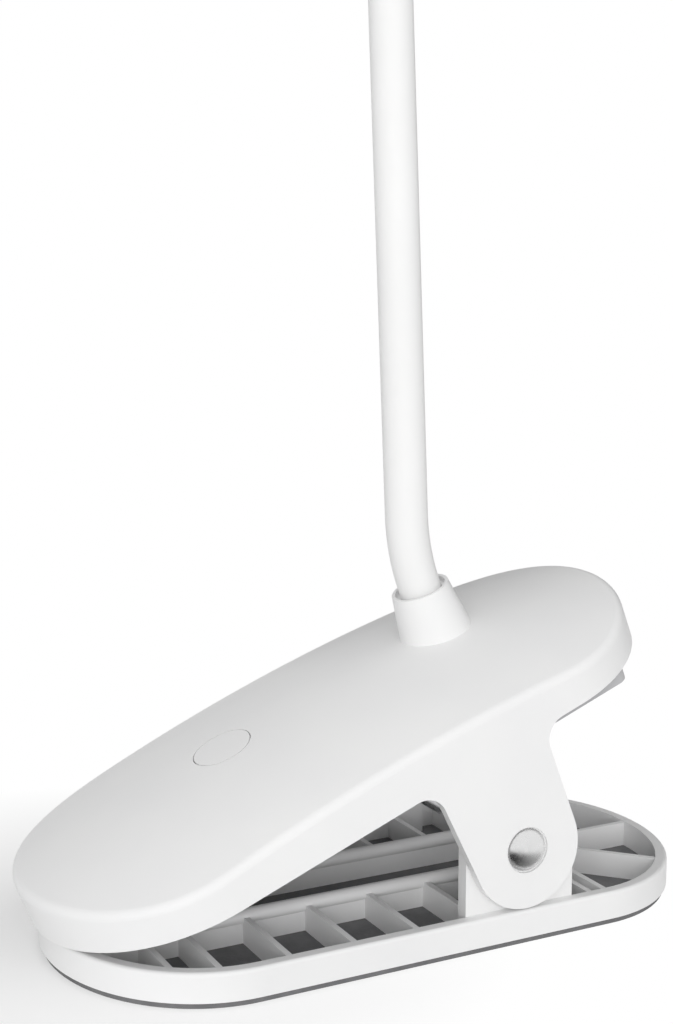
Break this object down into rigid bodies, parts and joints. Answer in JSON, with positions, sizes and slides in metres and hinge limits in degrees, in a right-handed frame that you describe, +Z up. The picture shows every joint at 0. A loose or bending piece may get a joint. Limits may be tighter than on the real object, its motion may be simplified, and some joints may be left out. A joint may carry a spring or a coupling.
{
  "type": "clip-on lamp",
  "caption": "White clip-on reading lamp: sprung jaws with a press button, gooseneck and slim LED bar head.",
  "frame": {"origin": "middle of the foot pad's underside, on the surface the lamp stands on", "axes": "+Z up, +X from the jaw tips towards the hinge and handles, +Y to the side"},
  "size_m": [0.2345, 0.071, 0.2887],
  "materials": {
    "white_plastic": "satin moulded",
    "white_sleeve": "matte",
    "steel_core": "brushed",
    "spring_steel": "drawn wire",
    "chrome": "polished",
    "dark_rubber": "matte",
    "grey_plastic": "satin moulded",
    "black_plastic": "matte",
    "board_green": "solder mask",
    "board_white": "white solder mask",
    "battery_foil": "foil",
    "frosted_window": "frosted",
    "led_yellow": "phosphor"
  },
  "bodies": {
    "lower_jaw": {"lower_frame": "white_plastic", "foot_pad": "dark_rubber", "hinge_pin": "steel_core", "rivet_caps": "chrome", "torsion_spring": "spring_steel"},
    "upper_jaw": {"upper_shell": "white_plastic", "bottom_cover": "grey_plastic", "cover_screws": "steel_core", "switch_body": "black_plastic", "circuit_board": "board_green", "board_components": "black_plastic", "battery": "battery_foil", "charge_board": "board_green", "charge_socket": "steel_core", "neck_ferrule": "steel_core", "neck_nut": "steel_core", "neck_collar": "white_plastic", "neck_sleeve_root": "white_sleeve", "neck_core_root": "steel_core"},
    "button": {"button_cap": "white_plastic", "switch_plunger": "black_plastic"},
    "neck_lower": {"neck_sleeve_lower": "white_sleeve", "neck_core_lower": "steel_core"},
    "neck_middle": {"neck_sleeve_middle": "white_sleeve", "neck_core_middle": "steel_core"},
    "neck_upper": {"neck_sleeve_upper": "white_sleeve", "neck_core_upper": "steel_core", "head_shell": "white_plastic", "head_grub_screw": "steel_core", "head_diffuser": "frosted_window", "led_board": "board_white", "led_chips": "led_yellow"}
  },
  "joints": [
    {"name": "jaw_hinge", "type": "hinge", "parent": "lower_jaw", "child": "upper_jaw", "pos_m": [0.0177, 0, 0.0191], "axis": [0, 1, 0], "range_deg": [0, 35], "stiffness_Nm_per_rad": 0.9, "springref_deg": -45.84, "deforming": ["torsion_spring"]},
    {"name": "button_press", "type": "slide", "parent": "upper_jaw", "child": "button", "axis": [0.3668, 0, -0.9303], "range_m": [0, 0.0005], "stiffness_N_per_m": 800, "springref_m": -0.001},
    {"name": "neck_bend_low", "type": "hinge", "parent": "upper_jaw", "child": "neck_lower", "pos_m": [0.00822, 0, 0.10507], "axis": [0, 1, 0], "range_deg": [-35, 35]},
    {"name": "neck_bend_side", "type": "hinge", "parent": "neck_lower", "child": "neck_middle", "pos_m": [0.00591, 0, 0.16002], "axis": [1, 0, 0], "range_deg": [-35, 35]},
    {"name": "neck_bend_high", "type": "hinge", "parent": "neck_middle", "child": "neck_upper", "pos_m": [0.00361, 0, 0.21497], "axis": [0, 1, 0], "range_deg": [-35, 35]}
  ]
}
